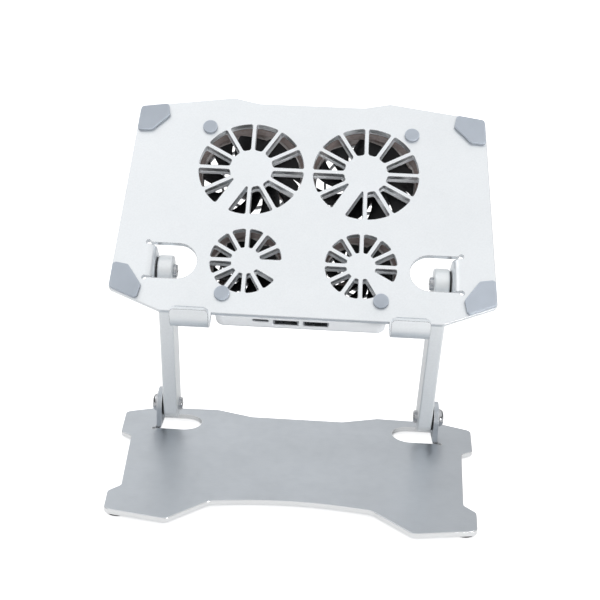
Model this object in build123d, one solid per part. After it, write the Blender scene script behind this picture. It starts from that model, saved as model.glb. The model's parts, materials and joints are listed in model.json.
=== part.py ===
from build123d import *
import os
from math import atan2, cos, degrees, hypot, radians, sin, tan

os.makedirs("parts", exist_ok=True)

# Foldable two-plate laptop cooling stand with four fans.
# World frame: millimetres, +X to the right, +Y to the back, +Z up, Z = 0 under the feet.
# Base frame: origin on the base plate's top face under the lower pivot line.
# Tray frame: X right, Y towards the tray's rear edge, Z out of the tray's top face, with the
# origin on the top face above the upper pivot line.

# ------------------------------------------------------------------ driving dimensions
PLATE_T = 3.0             # thickness of both metal plates
FOOT_H = 2.0              # rubber foot height
FOOT_R = 7.0
BASE_SHIFT_Y = 35.2       # puts the middle of the whole stand at Y = 0

ARM_INNER_X = 71.8        # the arms' inner faces
ARM_OUTER_X = 80.0        # the arms' outer faces
ARM_R = 8.7               # half the width of an arm and the radius of its ends
ARM_L = 94.1              # between the lower and upper pivots
ARM_ANGLE = 105.2         # from +Y towards +Z, as the stand is set up
BASE_PIVOT_H = 12.2       # lower pivot line above the base plate's top face
TRAY_PIVOT_D = 12.9       # upper pivot line below the tray plate's top face
TRAY_TILT = 47.3          # rear edge up

TAB_IN_X = 81.0           # inner face of every bent tab
TAB_OUT_X = 84.0          # outer face of every bent tab
TAB_R = 9.6               # tab half width and end radius
BEND_R = 1.5              # inside radius of the tab bends
EDGE_R = 0.4              # broken edges round both plates
SLOT_R = 10.75            # half width of the D-shaped slots the tabs are cut from
SLOT_END_X = 57.8         # inner end of each slot

PIVOT_R = 2.5             # pivot barrel radius
RUNNING_GAP = 0.05        # radial clearance of a running bore
WASHER_T = 0.9

HOOK_X = (47.2, 67.3)     # left and right ends of each front hook
HOOK_BEND_R = 7.0         # inside radius of the hook
HOOK_BEND_ANGLE = 129.0
HOOK_STRAIGHT = 4.0
HOOK_ROUND = 2.2          # corner radius at the hook's free end
LIP_PAD_T = 0.9           # silicone lining inside each hook
LIP_PAD_MARGIN = 2.3
TRAY_FRONT_Y = -29.9
CORNER_PAD_T = 2.0
ROUND_PAD_R = 4.2
ROUND_PAD_T = 1.8

FLANGE_Z = (-4.2, -3.0)   # housing top wall, under the tray plate
COVER_Z = (-15.6, -14.2)  # housing bottom cover
BOARD_Z = (-5.2, -4.2)    # circuit board

# name, grille centre in the tray frame, grille radius, hub radius, blade tip radius
FANS = (
    ("large_left", (-32.6, 61.2), 30.0, 12.6, 28.0),
    ("large_right", (32.6, 61.2), 30.0, 12.6, 28.0),
    ("small_left", (-31.4, 2.3), 19.6, 8.2, 18.0),
    ("small_right", (31.4, 2.3), 19.6, 8.2, 18.0),
)
BLADES = 9
TIP_GAP = 0.8             # between blade tips and duct
DUCT_WALL = 2.2
DUCT_FLARE = 1.9          # how much the duct widens at its mouth
GUARD_Z = (-6.0, -3.0)    # plastic spokes under each grille's own spokes
GUARD_OPEN = 1.2          # how far the guard's openings reach past the grille's
GUARD_RIM = 2.2           # how far the guard's disc reaches past the grille
FAN_FRAME_Z = (-14.2, -6.0)
IMPELLER_Z = (-12.6, -6.8)
BLADE_Z = (-12.6, -7.6)
SHAFT_R = 1.0
BEARING_R = 2.4

# ------------------------------------------------------------------ frames
BASE = Location((0, BASE_SHIFT_Y, FOOT_H + PLATE_T))
LOWER_PIVOT = Vector(0, BASE_SHIFT_Y, FOOT_H + PLATE_T + BASE_PIVOT_H)
ARM_DIR = Vector(0, cos(radians(ARM_ANGLE)), sin(radians(ARM_ANGLE)))
UPPER_PIVOT = LOWER_PIVOT + ARM_DIR * ARM_L
TRAY_UP = Vector(0, -sin(radians(TRAY_TILT)), cos(radians(TRAY_TILT)))
TRAY = Plane(origin=UPPER_PIVOT + TRAY_UP * TRAY_PIVOT_D, x_dir=(1, 0, 0), z_dir=TRAY_UP).location


# ------------------------------------------------------------------ helpers
def save(name, shape):
    export_step(shape, f"parts/{name}.step")


def on_left(shape):
    """The same piece on the left side."""
    return mirror(shape, about=Plane.YZ)


def both_sides(points):
    """Close a right-hand outline of (x, y, corner radius) with its mirror image."""
    return list(points) + [(-x, y, r) for x, y, r in reversed(points) if x > 0]


def rounded(points):
    """Flat face through (x, y, corner radius) points."""
    edges = []
    tangents = []
    for i, (x, y, r) in enumerate(points):
        corner = Vector(x, y)
        back = (Vector(*points[i - 1][:2]) - corner).normalized()
        ahead = (Vector(*points[(i + 1) % len(points)][:2]) - corner).normalized()
        half = radians(back.get_angle(ahead) / 2)
        inward = (back + ahead).normalized()
        start = corner + back * (r / tan(half))
        end = corner + ahead * (r / tan(half))
        middle = corner + inward * (r / sin(half) - r)
        edges.append(ThreePointArc(start, middle, end))
        tangents.append((start, end))
    for i, (start, _) in enumerate(tangents):
        edges.append(Line(tangents[i - 1][1], start))
    return make_face(edges)


def slab(face, z_low, z_high):
    """A flat face made solid between two heights."""
    return Pos(0, 0, z_low) * extrude(face, z_high - z_low)


def soften(plate):
    """Break the sharp edges round a flat plate."""
    return fillet(plate.edges().filter_by(Plane.XY), EDGE_R)


def disc(r, z_low, z_high, x=0.0, y=0.0):
    return Pos(x, y, (z_low + z_high) / 2) * Cylinder(r, z_high - z_low)


def ring(r_in, r_out, z_low, z_high, x=0.0, y=0.0):
    return disc(r_out, z_low, z_high, x, y) - disc(r_in, z_low - 1, z_high + 1, x, y)


def block(x0, x1, y0, y1, z0, z1):
    return Pos((x0 + x1) / 2, (y0 + y1) / 2, (z0 + z1) / 2) * Box(x1 - x0, y1 - y0, z1 - z0)


def tab_and_slot(pivot_h):
    """Right-hand tab bent up from a plate whose top face is Z = 0, and the slot it leaves."""
    stub = block(TAB_OUT_X + BEND_R, TAB_OUT_X + BEND_R + 1.2, -TAB_R, TAB_R, -PLATE_T, 0)
    bend = Pos(TAB_OUT_X + BEND_R, 0, BEND_R) * Rot(90, 0, 0) * (
        Cylinder(BEND_R + PLATE_T, 2 * TAB_R) - Cylinder(BEND_R, 2 * TAB_R + 1)
    )
    bend &= block(TAB_IN_X - 1, TAB_OUT_X + BEND_R, -20, 20, -PLATE_T, BEND_R)
    wall = block(TAB_IN_X, TAB_OUT_X, -TAB_R, TAB_R, BEND_R, pivot_h)
    middle = (TAB_IN_X + TAB_OUT_X) / 2
    tip = Pos(middle, 0, pivot_h) * Rot(0, 90, 0) * Cylinder(TAB_R, TAB_OUT_X - TAB_IN_X)
    bore = Pos(middle, 0, pivot_h) * Rot(0, 90, 0) * Cylinder(PIVOT_R, 10)
    tab = stub + bend + wall + tip - bore

    slot_centre = SLOT_END_X + SLOT_R
    slot = disc(SLOT_R, -PLATE_T - 1, 1, slot_centre, 0)
    slot += block(slot_centre, TAB_OUT_X + BEND_R, -SLOT_R, SLOT_R, -PLATE_T - 1, 1)
    for side in (-1, 1):
        slot += disc(1.3, -PLATE_T - 1, 1, TAB_OUT_X + BEND_R, side * (TAB_R + 1.3))
    return tab, slot


def pivot_hardware(pivot, name):
    """Bolt, nut and washers of one pivot line, in world coordinates."""
    right = Plane(origin=pivot, x_dir=(0, 1, 0), z_dir=(1, 0, 0)).location
    head = disc(5.3, TAB_OUT_X, TAB_OUT_X + 3.4)
    head = fillet(head.edges().sort_by(Axis.Z)[-1], 2.6)
    head -= slab(RegularPolygon(2.3, 6), TAB_OUT_X + 1.6, TAB_OUT_X + 4)
    bolt = head + disc(PIVOT_R, ARM_INNER_X - 0.1, TAB_OUT_X)
    bolt -= disc(1.5, ARM_INNER_X - 1, ARM_INNER_X + 6)
    cap = disc(3.8, ARM_INNER_X - 2.2, ARM_INNER_X - 0.1)
    cap = fillet(cap.edges().sort_by(Axis.Z)[0], 0.9)
    cap -= block(-2.2, 2.2, -0.4, 0.4, ARM_INNER_X - 3, ARM_INNER_X - 1.3)
    cap -= block(-0.4, 0.4, -2.2, 2.2, ARM_INNER_X - 3, ARM_INNER_X - 1.3)
    nut = cap + disc(1.5, ARM_INNER_X - 0.1, ARM_INNER_X + 5.5)
    washer = ring(PIVOT_R, 7.4, TAB_IN_X - WASHER_T, TAB_IN_X)
    save(f"{name}_pivot_bolt_right", right * bolt)
    save(f"{name}_pivot_bolt_left", on_left(right * bolt))
    save(f"{name}_pivot_nut_right", right * nut)
    save(f"{name}_pivot_nut_left", on_left(right * nut))
    save(f"{name}_pivot_washers", Compound(children=[right * washer, on_left(right * washer)]))


# ------------------------------------------------------------------ base
BASE_OUTLINE = both_sides((
    (0, -86.6, 190),
    (42.1, -93.4, 7),
    (62.0, -113.9, 4),
    (94.7, -107.4, 4.5),
    (96.6, -89.0, 3.5),
    (90.7, -82.0, 3),
    (96.9, -22.6, 3),
    (103.7, -18.2, 4),
    (106.3, 10.5, 4),
    (86.3, 19.2, 5),
    (49.7, 20.4, 7),
    (27.8, 12.6, 7),
))
base_plate = soften(slab(rounded(BASE_OUTLINE), -PLATE_T, 0))
base_tab, base_slot = tab_and_slot(BASE_PIVOT_H)
base_plate = base_plate - base_slot - on_left(base_slot) + base_tab + on_left(base_tab)
save("base_plate", BASE * base_plate)

foot = disc(FOOT_R, -PLATE_T - FOOT_H, -PLATE_T)
foot = chamfer(foot.edges().sort_by(Axis.Z)[0], 0.5)
for end, foot_x, foot_y in (("front", 88.6, -99.5), ("rear", 95.0, -3.2)):
    placed = BASE * Pos(foot_x, foot_y, 0) * foot
    save(f"foot_{end}_right", placed)
    save(f"foot_{end}_left", on_left(placed))

pivot_hardware(LOWER_PIVOT, "base")

# ------------------------------------------------------------------ arms
arm = extrude(Pos(ARM_L / 2, 0) * SlotCenterToCenter(ARM_L, 2 * ARM_R), ARM_OUTER_X - ARM_INNER_X)
arm = fillet(arm.edges().filter_by(Plane.XY), 1.0)
for along in (0, ARM_L):
    arm -= disc(PIVOT_R + RUNNING_GAP, -1, 10, along, 0)
arm_plane = Plane(origin=LOWER_PIVOT + Vector(ARM_INNER_X, 0, 0), x_dir=ARM_DIR, z_dir=(1, 0, 0))
right_arm = arm_plane.location * arm
save("arm_right", right_arm)
save("arm_left", on_left(right_arm))

# ------------------------------------------------------------------ tray plate
SPOKE_W = 2.3
WIDE_SPOKE_W = 8.6
GRILLE_HUB = 0.41          # the middle disc's radius as a share of the grille's
WEDGE_ROUND = 1.6          # largest corner radius at a wedge's inner end
WEDGE_ROUND_OUT = 1.1
CLOSED_WEDGE = {"small_left": -15, "small_right": -45}
WIDE_SPOKE = {"large_left": -120, "large_right": -120}
TRAY_OUTLINE = both_sides((
    (75.5, TRAY_FRONT_Y, 5),
    (104.3, -18.4, 3),
    (100.7, 100.9, 4),
    (45.8, 109.4, 4),
    (30.7, 106.0, 6),
))


def grille_cutters(centre, radius, hub_r, closed, wide, z_low, z_high):
    """Twelve wedge openings round a solid disc; one may be closed, one spoke may be wide."""
    face = Circle(radius) - Circle(hub_r)
    for k in range(6):
        face -= Rot(0, 0, 30 * k) * Rectangle(3 * radius, SPOKE_W)
    if wide is not None:
        face -= Rot(0, 0, wide) * Pos(radius, 0) * Rectangle(2 * radius, WIDE_SPOKE_W)
    cutters = []
    for wedge in face.faces():
        middle = wedge.center()
        angle = degrees(atan2(middle.Y, middle.X))
        if closed is not None and abs(angle - closed) < 10:
            continue
        wedge = Face(wedge.outer_wire())
        inner_r = min(WEDGE_ROUND, 0.42 * wedge.edges().sort_by(SortBy.LENGTH)[0].length)
        corners = wedge.vertices().sort_by_distance((0, 0, 0))
        wedge = fillet(corners[:2], inner_r)
        corners = wedge.vertices().filter_by(lambda v: hypot(v.X, v.Y) > radius - 1)
        wedge = fillet(corners, WEDGE_ROUND_OUT)
        cutters.append(Pos(*centre) * slab(wedge, z_low, z_high))
    return cutters


def hook_profile():
    """Side view (y, z) of a front hook that curls up and back over the tray."""
    cy = TRAY_FRONT_Y - 0.8
    cz = HOOK_BEND_R
    r_in = HOOK_BEND_R
    r_out = HOOK_BEND_R + PLATE_T
    end = radians(270 - HOOK_BEND_ANGLE)
    half = radians(270 - HOOK_BEND_ANGLE / 2)
    run = (sin(end) * HOOK_STRAIGHT, -cos(end) * HOOK_STRAIGHT)
    out_mid = (cy + r_out * cos(half), cz + r_out * sin(half))
    out_end = (cy + r_out * cos(end), cz + r_out * sin(end))
    in_mid = (cy + r_in * cos(half), cz + r_in * sin(half))
    in_end = (cy + r_in * cos(end), cz + r_in * sin(end))
    out_tip = (out_end[0] + run[0], out_end[1] + run[1])
    in_tip = (in_end[0] + run[0], in_end[1] + run[1])
    lining_r = r_in - LIP_PAD_T
    lining_mid = (cy + lining_r * cos(half), cz + lining_r * sin(half))
    lining_end = (cy + lining_r * cos(end), cz + lining_r * sin(end))
    lining_tip = (in_tip[0] - LIP_PAD_T * cos(end), in_tip[1] - LIP_PAD_T * sin(end))
    root = TRAY_FRONT_Y + 3
    edges = [
        Line((root, -PLATE_T), (cy, -PLATE_T)),
        ThreePointArc((cy, -PLATE_T), out_mid, out_end),
        Line(out_end, out_tip),
        Line(out_tip, in_tip),
        Line(in_tip, in_end),
        ThreePointArc(in_end, in_mid, (cy, 0)),
        Line((cy, 0), (root, 0)),
        Line((root, 0), (root, -PLATE_T)),
    ]
    pad = [
        Line(in_tip, in_end),
        ThreePointArc(in_end, in_mid, (cy, 0)),
        Line((cy, 0), (cy, LIP_PAD_T)),
        ThreePointArc((cy, LIP_PAD_T), lining_mid, lining_end),
        Line(lining_end, lining_tip),
        Line(lining_tip, in_tip),
    ]
    return make_face(edges), make_face(pad)


hook_face, lip_face = hook_profile()
YZ_AS_DRAWN = Plane(origin=(0, 0, 0), x_dir=(0, 1, 0), z_dir=(1, 0, 0)).location
hook = Pos(HOOK_X[0], 0, 0) * YZ_AS_DRAWN * extrude(hook_face, HOOK_X[1] - HOOK_X[0])
tip_edges = hook.edges().filter_by(lambda e: abs(e.length - PLATE_T) < 0.01)
tip_edges = tip_edges.filter_by(lambda e: e.center().Z > HOOK_BEND_R + 3)
hook = fillet(tip_edges, HOOK_ROUND)
lip_w = HOOK_X[1] - HOOK_X[0] - 2 * LIP_PAD_MARGIN
lip_pad = Pos(HOOK_X[0] + LIP_PAD_MARGIN, 0, 0) * YZ_AS_DRAWN * extrude(lip_face, lip_w)

tray_plate = soften(slab(rounded(TRAY_OUTLINE), -PLATE_T, 0))
tray_tab, tray_slot = tab_and_slot(TRAY_PIVOT_D - PLATE_T)
flip = Pos(0, 0, -PLATE_T)
tray_tab = flip * mirror(tray_tab, about=Plane.XY)
tray_slot = flip * mirror(tray_slot, about=Plane.XY)
tray_plate = tray_plate - tray_slot - on_left(tray_slot) + tray_tab + on_left(tray_tab)
tray_plate = tray_plate + hook + on_left(hook)

plate_wedges = []
guard_wedges = []
for fan_name, centre, radius, _, _ in FANS:
    closed = CLOSED_WEDGE.get(fan_name)
    wide = WIDE_SPOKE.get(fan_name)
    hub_r = GRILLE_HUB * radius
    plate_wedges += grille_cutters(centre, radius, hub_r, closed, wide, -PLATE_T - 1, 1)
    guard_r = radius + GUARD_OPEN
    guard_wedges += grille_cutters(centre, guard_r, hub_r, closed, wide, GUARD_Z[0] - 1, GUARD_Z[1] + 1)
for cutter in plate_wedges:
    tray_plate -= cutter

HOUSING_SCREWS = ((58.4, 87.8), (42.5, -18.4))
for x, y in HOUSING_SCREWS:
    for side in (-1, 1):
        tray_plate -= disc(1.6, -PLATE_T - 1, 1, side * x, y)
        tray_plate -= disc(2.9, -1.7, 1, side * x, y)
save("tray_plate", TRAY * tray_plate)
save("lip_pad_right", TRAY * lip_pad)
save("lip_pad_left", on_left(TRAY * lip_pad))

pivot_hardware(UPPER_PIVOT, "tray")

# ------------------------------------------------------------------ pads on the tray
REAR_PAD = ((100.1, 99.8, 2), (84.1, 102.5, 2), (82.6, 94.5, 2), (92.0, 83.9, 3), (100.6, 83.4, 2))
FRONT_PAD = ((103.4, -2.8, 2), (94.8, -4.2, 2), (86.5, -15.7, 3), (88.1, -24.2, 2), (103.6, -17.9, 2))
for end, outline in (("rear", REAR_PAD), ("front", FRONT_PAD)):
    pad = slab(rounded(outline), 0, CORNER_PAD_T)
    pad = TRAY * fillet(pad.edges().group_by(Axis.Z)[-1], 0.6)
    save(f"corner_pad_{end}_right", pad)
    save(f"corner_pad_{end}_left", on_left(pad))
for end, (x, y) in zip(("rear", "front"), HOUSING_SCREWS):
    pad = disc(ROUND_PAD_R, 0, ROUND_PAD_T, x, y)
    pad = TRAY * fillet(pad.edges().sort_by(Axis.Z)[-1], 0.5)
    save(f"round_pad_{end}_right", pad)
    save(f"round_pad_{end}_left", on_left(pad))

# ------------------------------------------------------------------ housing
HOUSING_OUTLINE = both_sides((
    (46.4, -30.0, 5),
    (46.4, -24.0, 3),
    (54.0, -16.0, 4),
    (54.0, 14.0, 5),
    (65.4, 27.0, 6),
    (65.4, 94.0, 8),
    (20.0, 97.0, 12),
))
HOUSING_INSIDE = both_sides((
    (44.8, -28.4, 3.4),
    (44.8, -23.3, 3),
    (52.7, -15.4, 3),
    (52.7, 14.4, 5),
    (63.9, 27.5, 5),
    (63.9, 92.6, 6.5),
    (20.0, 95.4, 12),
))
COVER_SCREWS = ((60.4, 31.5), (37.5, -25.4), (0.0, 91.5), (0.0, 28.5))

housing = slab(rounded(HOUSING_OUTLINE), COVER_Z[1], FLANGE_Z[1])
housing -= slab(rounded(HOUSING_INSIDE), COVER_Z[1] - 1, FLANGE_Z[0])
for _, centre, radius, _, _ in FANS:
    housing += disc(radius + GUARD_RIM, *GUARD_Z, *centre)
for cutter in guard_wedges:
    housing -= cutter
for x, y in HOUSING_SCREWS:
    for side in (-1, 1):
        housing += disc(2.6, COVER_Z[1], FLANGE_Z[1], side * x, y)
        housing -= disc(1.5, -11, 0, side * x, y)
for x, y in COVER_SCREWS:
    for side in (-1, 1):
        housing += disc(2.6, COVER_Z[1], FLANGE_Z[0], side * x, y)
        housing -= disc(1.2, COVER_Z[1] - 1, -8, side * x, y)

USB_A_X = (-7.5, 8.6)      # middles of the two large sockets
USB_A_Z = (-11.2, -5.2)
USB_C_X = -21.15
USB_C_Z = (-8.4, -5.2)
for x in USB_A_X:
    housing -= block(x - 6.9, x + 6.9, -32, -27, USB_A_Z[0] - 0.3, USB_A_Z[1] + 0.2)
usb_c_mouth = Pos(USB_C_X, -29, (USB_C_Z[0] + USB_C_Z[1]) / 2) * Rot(90, 0, 0)
housing -= usb_c_mouth * extrude(SlotOverall(9.6, 3.8), 4, both=True)
save("fan_housing", TRAY * housing)

# ------------------------------------------------------------------ housing cover
cover = slab(rounded(HOUSING_OUTLINE), *COVER_Z)
for _, centre, _, hub_r, tip_r in FANS:
    vent = Circle(tip_r) - Circle(hub_r)
    for band in (hub_r + (tip_r - hub_r) / 3, hub_r + (tip_r - hub_r) * 2 / 3):
        vent -= Circle(band + 0.7) - Circle(band - 0.7)
    for k in range(3):
        vent -= Rot(0, 0, 90 + 120 * k) * Pos(tip_r / 2, 0) * Rectangle(tip_r + 2, 2.0)
    cover -= Pos(*centre) * slab(vent, COVER_Z[0] - 1, COVER_Z[1] + 1)
cover_screws = []
for x, y in COVER_SCREWS:
    for side in ((-1, 1) if x else (1,)):
        cover -= disc(1.4, COVER_Z[0] - 1, COVER_Z[1] + 1, side * x, y)
        screw = disc(2.3, COVER_Z[0] - 1.1, COVER_Z[0], side * x, y)
        screw = fillet(screw.edges().sort_by(Axis.Z)[0], 0.6)
        screw -= block(side * x - 1.3, side * x + 1.3, y - 0.3, y + 0.3, COVER_Z[0] - 2, COVER_Z[0] - 0.6)
        screw += disc(1.2, COVER_Z[0], -8.5, side * x, y)
        cover_screws.append(TRAY * screw)
save("fan_housing_cover", TRAY * cover)
save("cover_screws", Compound(children=cover_screws))

housing_screws = []
for x, y in HOUSING_SCREWS:
    for side in (-1, 1):
        screw = disc(2.8, -1.7, -0.1, side * x, y) - disc(0.9, -1.0, 0.5, side * x, y)
        screw += disc(1.5, -10.5, -1.7, side * x, y)
        housing_screws.append(TRAY * screw)
save("housing_screws", Compound(children=housing_screws))

# ------------------------------------------------------------------ electronics
board = block(-28.5, 18.5, -28.2, -19.6, *BOARD_Z) + block(-9.0, 9.0, -20.0, 22.0, *BOARD_Z)
save("control_board", TRAY * board)

for name, x in zip(("usb_a_port_left", "usb_a_port_right"), USB_A_X):
    z0, z1 = USB_A_Z
    port = block(x - 6.6, x + 6.6, -29.8, -16.0, z0, z1)
    port -= block(x - 6.2, x + 6.2, -31, -17.5, z0 + 0.4, z1 - 0.4)
    port += block(x - 5.6, x + 5.6, -29.0, -17.0, z1 - 2.4, z1 - 0.6)
    save(name, TRAY * port)
shell = SlotOverall(9.0, 3.2) - SlotOverall(8.4, 2.6)
usb_c = Pos(USB_C_X, -22.4, sum(USB_C_Z) / 2) * Rot(90, 0, 0) * (
    extrude(shell, 7.4) + extrude(SlotOverall(9.0, 3.2), 0.8) + extrude(Rectangle(6.6, 0.7), 6.6)
)
save("usb_c_port", TRAY * usb_c)

# ------------------------------------------------------------------ fans
BOSS_Z = IMPELLER_Z[1] - 1.7       # underside of the boss that holds the shaft
TUBE_TOP = BOSS_Z - 0.4            # top of the bearing and of the tube round it
TUBE_R = BEARING_R + 0.8
STATOR_Z = (FAN_FRAME_Z[0] + 1.6, TUBE_TOP - 0.3)


def fan_frame(duct_r, hub_r):
    """Duct with a flared mouth, a motor plate on three struts, and the bearing tube."""
    low, high = FAN_FRAME_Z
    frame = ring(duct_r, duct_r + DUCT_WALL, low, high)
    frame -= Pos(0, 0, high - 1.2) * Cone(duct_r, duct_r + DUCT_FLARE, 2.41)
    frame += disc(hub_r - 0.6, low, low + 0.9)
    for k in range(3):
        strut = block(hub_r - 1.5, duct_r + 0.5, -1.2, 1.2, low, low + 1.2)
        frame += Rot(0, 0, 90 + 120 * k) * strut
    return frame + ring(BEARING_R, TUBE_R, low + 0.5, TUBE_TOP)


def motor_stator(pole_r):
    stator = ring(TUBE_R, TUBE_R + 1.0, *STATOR_Z)
    shoe = ring(pole_r - 0.9, pole_r, *STATOR_Z) & block(0, 20, -2.4, 2.4, *STATOR_Z)
    neck = block(TUBE_R + 0.5, pole_r - 0.4, -1.0, 1.0, *STATOR_Z)
    for k in range(4):
        stator += Rot(0, 0, 90 * k) * (neck + shoe)
    return stator


def impeller_solid(hub_r, tip_r):
    """Cup-shaped hub with curved blades set at an angle round it."""
    low, high = IMPELLER_Z
    cup = disc(hub_r, low, high)
    cup = fillet(cup.edges().sort_by(Axis.Z)[-1], 0.8)
    cup -= disc(hub_r - 1.0, low - 1, high - 1.2)
    cup += disc(SHAFT_R + 1.2, BOSS_Z, high - 1.0)
    cup -= disc(SHAFT_R, BOSS_Z - 1, high - 0.8)
    middle = (BLADE_Z[0] + BLADE_Z[1]) / 2
    camber_r = 9.0
    section = Circle(camber_r + 0.5) - Circle(camber_r - 0.5)
    section &= Pos(0, camber_r) * Rectangle(2 * camber_r, 5.0)
    blade = YZ_AS_DRAWN * extrude(Pos(0, 0.8 - camber_r) * section, tip_r + 2)
    blade = Pos(0, 0, middle) * Rot(35, 0, 0) * blade
    blade &= ring(hub_r - 0.5, tip_r, *BLADE_Z)
    for k in range(BLADES):
        cup += Rot(0, 0, 360 / BLADES * k) * blade
    return cup


bearings = []
for fan_name, centre, radius, hub_r, tip_r in FANS:
    spot = TRAY * Pos(*centre)
    magnet = ring(hub_r - 2.3, hub_r - 1.0, IMPELLER_Z[0] + 0.2, IMPELLER_Z[1] - 1.4)
    save(f"fan_frame_{fan_name}", spot * fan_frame(tip_r + TIP_GAP, hub_r))
    save(f"stator_{fan_name}", spot * motor_stator(hub_r - 3.0))
    save(f"impeller_{fan_name}", spot * impeller_solid(hub_r, tip_r))
    save(f"rotor_magnet_{fan_name}", spot * magnet)
    save(f"shaft_{fan_name}", spot * disc(SHAFT_R, FAN_FRAME_Z[0] + 1.2, IMPELLER_Z[1] - 0.8))
    bearings.append(spot * ring(SHAFT_R + 0.04, BEARING_R, FAN_FRAME_Z[0] + 0.9, TUBE_TOP))
save("fan_bearings", Compound(children=bearings))
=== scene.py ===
# Looks for the foldable laptop cooling stand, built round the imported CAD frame.
# Lengths are in metres and +Z is up, as in the frame.

import json
from math import cos, pi, radians, sin

import bmesh
import bpy
from mathutils import Matrix, Vector


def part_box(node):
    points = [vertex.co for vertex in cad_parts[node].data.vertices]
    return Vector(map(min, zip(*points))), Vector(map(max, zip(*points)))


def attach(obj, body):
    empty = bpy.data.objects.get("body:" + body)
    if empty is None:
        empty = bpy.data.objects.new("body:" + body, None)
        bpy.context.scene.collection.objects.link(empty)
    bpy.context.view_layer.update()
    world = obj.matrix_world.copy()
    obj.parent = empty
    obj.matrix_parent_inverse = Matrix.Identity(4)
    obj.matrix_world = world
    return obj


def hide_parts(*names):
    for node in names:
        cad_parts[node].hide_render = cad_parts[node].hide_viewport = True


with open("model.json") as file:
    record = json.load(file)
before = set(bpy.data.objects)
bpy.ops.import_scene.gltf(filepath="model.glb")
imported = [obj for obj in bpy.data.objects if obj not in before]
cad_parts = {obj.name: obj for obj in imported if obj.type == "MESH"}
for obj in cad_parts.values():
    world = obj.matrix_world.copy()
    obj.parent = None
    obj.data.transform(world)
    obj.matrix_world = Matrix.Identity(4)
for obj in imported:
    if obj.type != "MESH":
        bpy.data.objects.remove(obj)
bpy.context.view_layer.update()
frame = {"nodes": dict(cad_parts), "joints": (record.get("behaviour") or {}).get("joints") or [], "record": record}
nodes = frame["nodes"]

# Sockets of a Mix node, which share their names: factor, then (first, second, result) by type.
MIX_FACTOR = 0
MIX_NUMBERS = (2, 3, 0)
MIX_COLOURS = (6, 7, 2)


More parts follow.
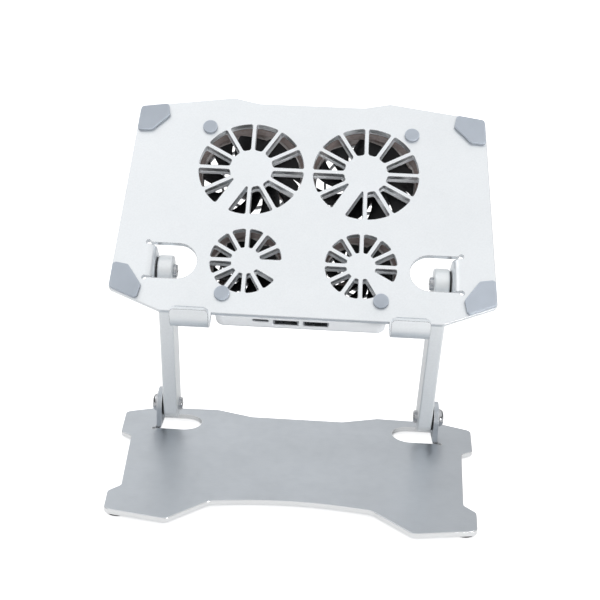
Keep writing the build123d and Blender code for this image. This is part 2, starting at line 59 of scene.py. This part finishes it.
# ------------------------------------------------------------------ node-tree helpers
class Tree:
    """The node tree of a material or world, with short calls for the nodes used here."""

    SHARP_DOT = 0.88      # a rounded normal this far from the real one is fully on an edge
    FLAT_DOT = 0.99       # and this near to it is on an open face
    WALL_FADE = 0.0006    # height over which a plate's walls give way to what stands above
    LEVEL_DOT = 0.97      # how upright a normal is on a level face
    WALL_DOT = 0.5        # and at most on a side wall

    def __init__(self, owner, shader):
        owner.use_nodes = True
        self.owner = owner
        self.nodes = owner.node_tree.nodes
        self.links = owner.node_tree.links
        self.shader = self.nodes[shader]

    def link(self, out, target):
        self.links.new(out, target)

    def put(self, socket, value):
        """Link an output into a socket, or set a constant on it."""
        if isinstance(value, bpy.types.NodeSocket):
            self.link(value, socket)
        else:
            socket.default_value = value

    def feed(self, socket, value):
        """Link a texture into the shader, or set a constant on the shader's own socket."""
        self.put(self.shader.inputs[socket], value)

    def output(self, kind, name):
        """One output of a new node that needs no inputs."""
        return self.nodes.new(kind).outputs[name]

    def coords(self, stretch=(1.0, 1.0, 1.0)):
        mapping = self.nodes.new("ShaderNodeMapping")
        mapping.inputs["Scale"].default_value = stretch
        self.link(self.output("ShaderNodeTexCoord", "Object"), mapping.inputs["Vector"])
        return mapping.outputs["Vector"]

    def axes(self, vector):
        """The X, Y and Z outputs of a vector."""
        split = self.nodes.new("ShaderNodeSeparateXYZ")
        self.link(vector, split.inputs["Vector"])
        return split.outputs

    def noise(self, vector, scale, detail=3.0):
        node = self.nodes.new("ShaderNodeTexNoise")
        node.inputs["Scale"].default_value = scale
        node.inputs["Detail"].default_value = detail
        self.link(vector, node.inputs["Vector"])
        return node.outputs["Fac"]

    def span(self, value, low, high, start=0.3, end=0.7):
        """Take a value that runs from start to end, and spread it between low and high."""
        node = self.nodes.new("ShaderNodeMapRange")
        node.inputs["From Min"].default_value = start
        node.inputs["From Max"].default_value = end
        node.inputs["To Min"].default_value = low
        node.inputs["To Max"].default_value = high
        self.link(value, node.inputs["Value"])
        return node.outputs["Result"]

    def ramp(self, value, stops):
        """Colours at positions from 0 to 1."""
        node = self.nodes.new("ShaderNodeValToRGB")
        elements = node.color_ramp.elements
        elements[0].position, elements[0].color = stops[0][0], (*stops[0][1], 1.0)
        elements[1].position, elements[1].color = stops[-1][0], (*stops[-1][1], 1.0)
        for position, colour in stops[1:-1]:
            elements.new(position).color = (*colour, 1.0)
        self.link(value, node.inputs["Fac"])
        return node.outputs["Color"]

    def greys(self, value, stops):
        return self.ramp(value, [(position, (grey,) * 3) for position, grey in stops])

    def bump(self, height, strength, distance, normal=None):
        node = self.nodes.new("ShaderNodeBump")
        node.inputs["Strength"].default_value = strength
        node.inputs["Distance"].default_value = distance
        self.link(height, node.inputs["Height"])
        if normal is not None:
            self.link(normal, node.inputs["Normal"])
        return node.outputs["Normal"]

    def math(self, operation, *values):
        node = self.nodes.new("ShaderNodeMath")
        node.operation = operation
        for socket, value in zip(node.inputs, values):
            self.link(value, socket)
        return node.outputs["Value"]

    def dot(self, first, second):
        """How far two directions agree, without sign."""
        product = self.nodes.new("ShaderNodeVectorMath")
        product.operation = "DOT_PRODUCT"
        self.put(product.inputs[0], first)
        self.put(product.inputs[1], second)
        return self.math("ABSOLUTE", product.outputs["Value"])

    def edges(self, radius):
        """1 along sharp edges and tight bends, 0 on open faces."""
        bevel = self.nodes.new("ShaderNodeBevel")
        bevel.samples = 4
        bevel.inputs["Radius"].default_value = radius
        normal = self.output("ShaderNodeNewGeometry", "Normal")
        agree = self.dot(bevel.outputs["Normal"], normal)
        return self.span(agree, 1.0, 0.0, self.SHARP_DOT, self.FLAT_DOT)

    def walls(self, top):
        """1 on a level plate's side walls, 0 on its faces and on what stands above its top."""
        height = self.axes(self.output("ShaderNodeTexCoord", "Object"))["Z"]
        low = self.span(height, 1.0, 0.0, top, top + self.WALL_FADE)
        level = self.dot(self.output("ShaderNodeTexCoord", "Normal"), (0, 0, 1))
        upright = self.span(level, 1.0, 0.0, self.WALL_DOT, self.LEVEL_DOT)
        return self.math("MULTIPLY", low, upright)

    def multiply(self, first, second):
        """Multiply two colours."""
        low, high, out = MIX_COLOURS
        node = self.nodes.new("ShaderNodeMix")
        node.data_type = "RGBA"
        node.blend_type = "MULTIPLY"
        node.inputs[MIX_FACTOR].default_value = 1.0
        self.link(first, node.inputs[low])
        self.link(second, node.inputs[high])
        return node.outputs[out]

    def mix(self, factor, first, second):
        """Blend a texture towards a fixed colour, or towards a fixed number."""
        node = self.nodes.new("ShaderNodeMix")
        is_colour = isinstance(second, tuple)
        node.data_type = "RGBA" if is_colour else "FLOAT"
        low, high, out = MIX_COLOURS if is_colour else MIX_NUMBERS
        self.link(factor, node.inputs[MIX_FACTOR])
        self.link(first, node.inputs[low])
        node.inputs[high].default_value = second
        return node.outputs[out]


def material_tree(name):
    return Tree(bpy.data.materials.new(name), "Principled BSDF")


def tint(colour, factor):
    return tuple(min(1.0, channel * factor) for channel in colour)


# ------------------------------------------------------------------ kinds of material
# Noise scales are roughly in features per metre, and most noise lies between 0.3 and 0.7.
BRIGHT_EDGE = (0.93, 0.94, 0.95)    # cut edges of the bare plates
ARM_EDGE_SHADE = (0.40, 0.41, 0.42)      # painted shade along the edges of the arms, a little darker than their faces
SHADED_EDGE = (0.13, 0.135, 0.14)   # painted shade along the edges of the pale tray, which read as dark outlines
EDGE_ROUGHNESS = 0.16
METAL_EDGE = 0.0007                 # reach of the edge colour
TRAY_EDGE = 0.00045
# reach of the painted highlight along a rubber part's rim
RUBBER_RIM_HIGHLIGHT = 0.0009
METAL_BUMP = 0.0001                 # depths of the bump textures
PLASTIC_BUMP = 0.00006
RUBBER_BUMP = 0.00005
RUBBER_ROUGHNESS = 0.75
CONTACT_SHADE_REACH = 0.003                 # how far from a contact the painted shade on rubber reaches


def metal(
    name, colour, roughness, grain=None, blotch=0.06, speck=None, plate_top=None, metallic=1.0,
    edge=BRIGHT_EDGE, edge_radius=METAL_EDGE,
):
    """Aluminium or steel: grain is (stretch, scale, strength), and speck is blasting."""
    tree = material_tree(name)
    plain = tree.coords()
    clouds = tree.noise(plain, 22.0, 4.0)
    shade = tree.ramp(clouds, [
        (0.3, tint(colour, 1.0 - blotch)),
        (0.7, tint(colour, 1.0 + 0.4 * blotch)),
    ])
    fine = tree.span(tree.noise(plain, 160.0), roughness - 0.05, roughness + 0.06)
    normal = None
    if grain is not None:
        stretch, scale, strength = grain
        streaks = tree.noise(tree.coords(stretch), scale, 4.0)
        normal = tree.bump(streaks, strength, METAL_BUMP)
        shade = tree.multiply(shade, tree.greys(streaks, [(0.3, 0.94), (0.7, 1.0)]))
    if speck is not None:
        scale, strength = speck
        grit = tree.noise(plain, scale, 2.0)
        normal = tree.bump(grit, strength, METAL_BUMP, normal)
        shade = tree.multiply(shade, tree.greys(grit, [(0.35, 0.97), (0.65, 1.0)]))
    # Edge mask: the bright default edge colour is bare cut metal; the darker tray and arm edge colours are painted
    # shade.
    cut_and_shaded_edges = tree.edges(edge_radius)
    if plate_top is not None:
        cut_and_shaded_edges = tree.math("MAXIMUM", cut_and_shaded_edges, tree.walls(plate_top))
    tree.feed("Base Color", tree.mix(cut_and_shaded_edges, shade, (*edge, 1.0)))
    tree.feed("Roughness", tree.mix(cut_and_shaded_edges, fine, EDGE_ROUGHNESS))
    tree.feed("Metallic", metallic)
    if normal is not None:
        tree.feed("Normal", normal)
    return tree.owner


def plastic(name, colour, roughness, coat=0.0, specular=0.5):
    """Moulded plastic with a fine spark-eroded texture and faint colour drift."""
    tree = material_tree(name)
    plain = tree.coords()
    tree.feed("Base Color", tree.ramp(tree.noise(plain, 30.0), [
        (0.3, tint(colour, 0.95)),
        (0.7, tint(colour, 1.04)),
    ]))
    fine = tree.noise(plain, 240.0)
    tree.feed("Roughness", tree.span(fine, roughness - 0.05, roughness + 0.05))
    tree.feed("Specular IOR Level", specular)
    tree.feed("Coat Weight", coat)
    tree.feed("Normal", tree.bump(tree.noise(plain, 900.0, 2.0), 0.2, PLASTIC_BUMP))
    return tree.owner


def rubber(name, colour):
    """Soft silicone or rubber: a fine matte skin, a painted highlight along its rim, and painted shade near where
    it is stuck on.
    """
    tree = material_tree(name)
    plain = tree.coords()
    skin = tree.ramp(tree.noise(plain, 120.0, 5.0), [
        (0.35, tint(colour, 0.975)),
        (0.65, tint(colour, 1.015)),
    ])
    # Painted highlight: the rim is paler than the skin.
    rim = tree.mix(tree.edges(RUBBER_RIM_HIGHLIGHT), skin, (*tint(colour, 1.5), 1.0))
    # Painted shade: ambient occlusion darkens the skin near where the part meets what it is stuck on.
    contact = tree.nodes.new("ShaderNodeAmbientOcclusion")
    contact.samples = 8
    contact.inputs["Distance"].default_value = CONTACT_SHADE_REACH
    contact_shade = tree.greys(contact.outputs["AO"], [(0.45, 0.35), (0.85, 1.0)])
    tree.feed("Base Color", tree.multiply(rim, contact_shade))
    fine = tree.noise(plain, 400.0)
    tree.feed("Roughness", tree.span(fine, RUBBER_ROUGHNESS - 0.08, RUBBER_ROUGHNESS + 0.08))
    tree.feed("Specular IOR Level", 0.35)
    tree.feed("Sheen Weight", 0.15)
    tree.feed("Normal", tree.bump(tree.noise(plain, 1400.0, 2.0), 0.25, RUBBER_BUMP))
    return tree.owner


# ------------------------------------------------------------------ materials, one for each slot
PLATE_T = 0.003
BASE_PLATE_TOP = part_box("foot_front_left")[1].z + PLATE_T
BRUSHED = ((1, 30, 1), 260.0, 0.10)    # fine lines along x
COIL_WIRE = ((1, 1, 40), 60.0, 0.6)
ARM_BLAST = (900.0, 0.08)
TRAY_BLAST = (1100.0, 0.08)

MATERIALS = {
    "base_metal": metal(
        "base_metal", (0.555, 0.59, 0.63), 0.36, grain=BRUSHED, plate_top=BASE_PLATE_TOP,
    ),
    "arm_metal": metal(
        "arm_metal", (0.90, 0.93, 0.95), 0.36, speck=ARM_BLAST, blotch=0.03, metallic=0.5,
        edge=ARM_EDGE_SHADE,
    ),
    "tray_metal": metal(
        "tray_metal", (0.895, 0.925, 0.95), 0.42, speck=TRAY_BLAST, blotch=0.02,
        edge=SHADED_EDGE, edge_radius=TRAY_EDGE,
    ),
    "pivot_chrome": metal("pivot_chrome", (0.50, 0.51, 0.53), 0.16, blotch=0.03),
    "screw_steel": metal("screw_steel", (0.56, 0.57, 0.58), 0.3),
    "port_steel": metal("port_steel", (0.66, 0.67, 0.69), 0.25),
    "shaft_steel": metal("shaft_steel", (0.66, 0.66, 0.67), 0.15),
    "bearing_brass": metal("bearing_brass", (0.72, 0.53, 0.26), 0.3),
    "winding": metal("winding", (0.62, 0.28, 0.12), 0.35, grain=COIL_WIRE),
    "magnet": metal("magnet", (0.10, 0.10, 0.10), 0.55),
    "foot_rubber": rubber("foot_rubber", (0.035, 0.035, 0.036)),
    "pad_silicone": rubber("pad_silicone", (0.495, 0.545, 0.615)),
    "lip_silicone": rubber("lip_silicone", (0.50, 0.54, 0.58)),
    "washer": plastic("washer", (0.03, 0.03, 0.033), 0.5),
    "housing_plastic": plastic("housing_plastic", (0.92, 0.94, 0.965), 0.42),
    "cover_plastic": plastic("cover_plastic", (0.74, 0.76, 0.78), 0.45),
    "board": plastic("board", (0.02, 0.09, 0.045), 0.35, coat=0.3),
    "fan_frame_plastic": plastic("fan_frame_plastic", (0.30, 0.245, 0.23), 0.28, coat=0.3),
    "impeller_plastic": plastic("impeller_plastic", (0.007, 0.007, 0.008), 0.35, specular=0.25),
}
slot_of = {part["node"]: part["material_slot"] for part in frame["record"]["subparts"]}
for name, node in nodes.items():
    node.data.materials.clear()
    node.data.materials.append(MATERIALS[slot_of[name]])

# ------------------------------------------------------------------ fan impellers
BLADES = 9
LEAD_SWEEP = radians(32)     # how far a blade's upper edge leads at the hub, against its tip
TRAIL_SWEEP = radians(6)     # how far its lower edge trails at the hub
CAMBER = 0.16                # the blade's bow, as a share of its height
HALF_THICK = 0.00045
EDGE_THIN = 0.35             # share of the thickness left at the blade's two edges
EDGE_FLAT = 0.06             # share of the height over which the edges keep one thickness
ROOT_OVERLAP = 0.0006        # the blade's root runs this far into the hub
BLADE_TOP_GAP = 0.0006       # the blades stay this far below the hub's top
BLADE_LOW_GAP = 0.0001
HUB_WALL = 0.001
HUB_ROOF = 0.0014
HUB_ROUND = 0.0010
RECESS_DEPTH = 0.0002        # the shallow round recess in the hub's top
RECESS_R = 0.45              # its radii at the bottom and the top, as shares of the hub's
RECESS_RIM_R = 0.48
CREASE = radians(40)         # sharper folds than this are shaded as edges

# Turn of the first blade, and the angle that a blade spans at its tip, in degrees.
FANS = {
    "large_left": (28.0, 31),
    "large_right": (17.7, 31),
    "small_left": (10.0, 35),
    "small_right": (31.0, 35),
}


def local_extent(node, place):
    """Lowest z, highest z and greatest radius of a CAD node in a placed frame."""
    inverse = place.inverted()
    points = [inverse @ vertex.co for vertex in nodes[node].data.vertices]
    heights = [point.z for point in points]
    return min(heights), max(heights), max(point.xy.length for point in points)


def lathe(bm, profile, steps=72):
    """Turn (radius, z) points round the z axis. A radius of 0 is a point on the axis."""
    turn = [2 * pi * k / steps for k in range(steps)]
    rings = []
    for radius, z in profile:
        if radius == 0.0:
            rings.append([bm.verts.new((0.0, 0.0, z))] * steps)
        else:
            rings.append([bm.verts.new((radius * cos(a), radius * sin(a), z)) for a in turn])
    for low, high in zip(rings, rings[1:]):
        for k in range(steps):
            corners = [low[k], low[(k + 1) % steps], high[(k + 1) % steps], high[k]]
            unique = list(dict.fromkeys(corners))
            if len(unique) > 2:
                bm.faces.new(unique)


def blade(bm, phase, width, hub_r, tip_r, low, high):
    """One swept, cambered blade: its upper edge leads and its lower edge trails clockwise."""
    along, across = 9, 10
    root_r = hub_r - ROOT_OVERLAP
    sheets = []
    for side in (1, -1):
        grid = []
        for i in range(along + 1):
            u = i / along
            radius = root_r + (tip_r - root_r) * u
            upper = phase + LEAD_SWEEP * (1 - u)
            lower = phase - width + (width - TRAIL_SWEEP) * (1 - u)
            row = []
            for j in range(across + 1):
                v = j / across
                angle = upper + (lower - upper) * v
                middle = high + (low - high) * (v + CAMBER * sin(pi * v))
                fullness = sin(pi * min(max(v, EDGE_FLAT), 1.0 - EDGE_FLAT)) ** 0.5
                thick = HALF_THICK * (EDGE_THIN + (1.0 - EDGE_THIN) * fullness)
                z = min(max(middle + side * thick, low), high)
                row.append(bm.verts.new((radius * cos(angle), radius * sin(angle), z)))
            grid.append(row)
        sheets.append(grid)
    upper_sheet, lower_sheet = sheets
    for i in range(along):
        for j in range(across):
            for sheet, order in ((upper_sheet, -1), (lower_sheet, 1)):
                a, b = sheet[i][j], sheet[i + 1][j]
                c, d = sheet[i + 1][j + 1], sheet[i][j + 1]
                bm.faces.new((a, b, c, d)[::order])
    rim = [(i, 0) for i in range(along)] + [(along, j) for j in range(across)]
    rim += [(i, across) for i in range(along, 0, -1)] + [(0, j) for j in range(across, 0, -1)]
    for (i, j), (k, m) in zip(rim, rim[1:] + rim[:1]):
        bm.faces.new((upper_sheet[i][j], upper_sheet[k][m], lower_sheet[k][m], lower_sheet[i][j]))


def impeller(fan, phase_deg, width_deg):
    """Nine-bladed wheel that stands for the plain CAD one."""
    joint = next(j for j in frame["joints"] if j["name"] == "fan_spin_" + fan)
    up = Vector(joint["axis"])
    right = Vector((1.0, 0.0, 0.0))
    place = Matrix((right, up.cross(right), up)).transposed().to_4x4()
    place.translation = Vector(joint["pos_m"])
    low, high, tip_r = local_extent("impeller_" + fan, place)
    hub_r = local_extent("rotor_magnet_" + fan, place)[2] + HUB_WALL
    bm = bmesh.new()
    lathe(bm, [
        (0.0, high - RECESS_DEPTH),
        (RECESS_R * hub_r, high - RECESS_DEPTH),
        (RECESS_RIM_R * hub_r, high),
        (hub_r - HUB_ROUND, high),
        (hub_r - 0.3 * HUB_ROUND, high - 0.3 * HUB_ROUND),
        (hub_r, high - HUB_ROUND),
        (hub_r, low),
        (hub_r - HUB_WALL, low),
        (hub_r - HUB_WALL, high - HUB_ROOF),
        (0.0, high - HUB_ROOF),
    ])
    for k in range(BLADES):
        turn = radians(phase_deg + 360 / BLADES * k)
        blade(
            bm, turn, radians(width_deg), hub_r, tip_r, low + BLADE_LOW_GAP, high - BLADE_TOP_GAP,
        )
    bmesh.ops.recalc_face_normals(bm, faces=bm.faces)
    mesh = bpy.data.meshes.new("impeller_wheel_" + fan)
    bm.to_mesh(mesh)
    bm.free()
    mesh.transform(place)
    mesh.shade_smooth()
    mesh.set_sharp_from_angle(angle=CREASE)
    mesh.materials.append(MATERIALS["impeller_plastic"])
    wheel = bpy.data.objects.new("impeller_wheel_" + fan, mesh)
    bpy.context.scene.collection.objects.link(wheel)
    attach(wheel, "impeller_" + fan)
    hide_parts("impeller_" + fan)


for fan, (phase_deg, width_deg) in FANS.items():
    impeller(fan, phase_deg, width_deg)

# ------------------------------------------------------------------ floor
FLOOR_SIZE = 60.0
FLOOR_GREY = 0.80
FLOOR_GLOW = 0.12        # the floor's glow as the object sees it
FLOOR_GLOW_SEEN = 0.8    # and as the eye does, which makes it plain white

floor_z = min(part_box(name)[0].z for name in nodes)
bpy.ops.mesh.primitive_plane_add(size=FLOOR_SIZE, location=(0.0, 0.0, floor_z))
floor = bpy.context.object
floor.name = "floor"
floor_tree = material_tree("floor_white")
floor_tree.feed("Base Color", (FLOOR_GREY, FLOOR_GREY, FLOOR_GREY, 1.0))
floor_tree.feed("Roughness", 0.9)
floor_tree.feed("Emission Color", (1.0, 1.0, 1.0, 1.0))
is_eye = floor_tree.output("ShaderNodeLightPath", "Is Camera Ray")
floor_tree.feed(
    "Emission Strength", floor_tree.span(is_eye, FLOOR_GLOW, FLOOR_GLOW_SEEN, 0.0, 1.0),
)
floor.data.materials.append(floor_tree.owner)

# ------------------------------------------------------------------ lights
# Name: place, size, watts, and the point that the lamp faces.
LAMPS = {
    "key": ((-1.3, 0.1, 1.6), 0.9, 3.0, (0.0, 0.0, 0.08)),
    "fill": ((1.4, -0.3, 1.0), 0.9, 1.0, (0.0, 0.0, 0.08)),
    "kicker": ((0.38, -0.36, 0.02), 0.16, 1.15, (0.075, 0.0, 0.06)),
}
for name, (place, size, watts, target) in LAMPS.items():
    lamp_data = bpy.data.lights.new(name, "AREA")
    lamp_data.size = size
    lamp_data.energy = watts
    lamp = bpy.data.objects.new(name, lamp_data)
    lamp.location = place
    lamp.rotation_euler = (Vector(target) - Vector(place)).to_track_quat("-Z", "Y").to_euler()
    bpy.context.scene.collection.objects.link(lamp)

# Brightness of the surroundings along each axis, at positions from 0 (the -1 end) to 1 (the +1
# end). Y and X shade what lies low, and Z raises all of it to an even white overhead.
FRONT_TO_BACK = [(0.0, 0.72), (0.35, 0.88), (0.7, 0.95), (1.0, 0.95)]
LEFT_TO_RIGHT = [
    (0.0, 0.08), (0.08, 0.2), (0.18, 0.8), (0.35, 1.0), (0.52, 1.0), (0.60, 0.61), (0.80, 0.42),
    (0.93, 0.2), (1.0, 0.08),
]
LOW_TO_HIGH = [(0.0, 0.0), (0.70, 0.0), (0.88, 1.0), (1.0, 1.0)]
OVERHEAD = (0.97, 0.97, 0.97, 1.0)


def studio_world():
    """White cyclorama for the eye; reflections see softer light low down and at the sides."""
    tree = Tree(bpy.data.worlds.new("studio"), "Background")
    axes = tree.axes(tree.output("ShaderNodeTexCoord", "Generated"))

    def fade(axis, stops):
        return tree.greys(tree.span(axes[axis], 0.0, 1.0, -1.0, 1.0), stops)

    low = tree.multiply(fade("Y", FRONT_TO_BACK), fade("X", LEFT_TO_RIGHT))
    seen = tree.mix(fade("Z", LOW_TO_HIGH), low, OVERHEAD)
    is_eye = tree.output("ShaderNodeLightPath", "Is Camera Ray")
    tree.feed("Color", tree.mix(is_eye, seen, (1.0, 1.0, 1.0, 1.0)))
    tree.feed("Strength", 1.0)
    return tree.owner


bpy.context.scene.world = studio_world()
bpy.context.scene.view_settings.view_transform = "Standard"

# ------------------------------------------------------------------ camera
CAMERA_PLACE = (0.00878, -0.51988, 0.26666)
CAMERA_TURN = (radians(72.83), radians(-1.96), radians(3.49))

camera_data = bpy.data.cameras.new("camera")
camera_data.lens = 60.0
camera_data.sensor_width = 36.0
camera_data.shift_x = 0.05
camera_data.shift_y = -0.025
camera = bpy.data.objects.new("camera", camera_data)
camera.location = CAMERA_PLACE
camera.rotation_euler = CAMERA_TURN
bpy.context.scene.collection.objects.link(camera)
bpy.context.scene.camera = camera
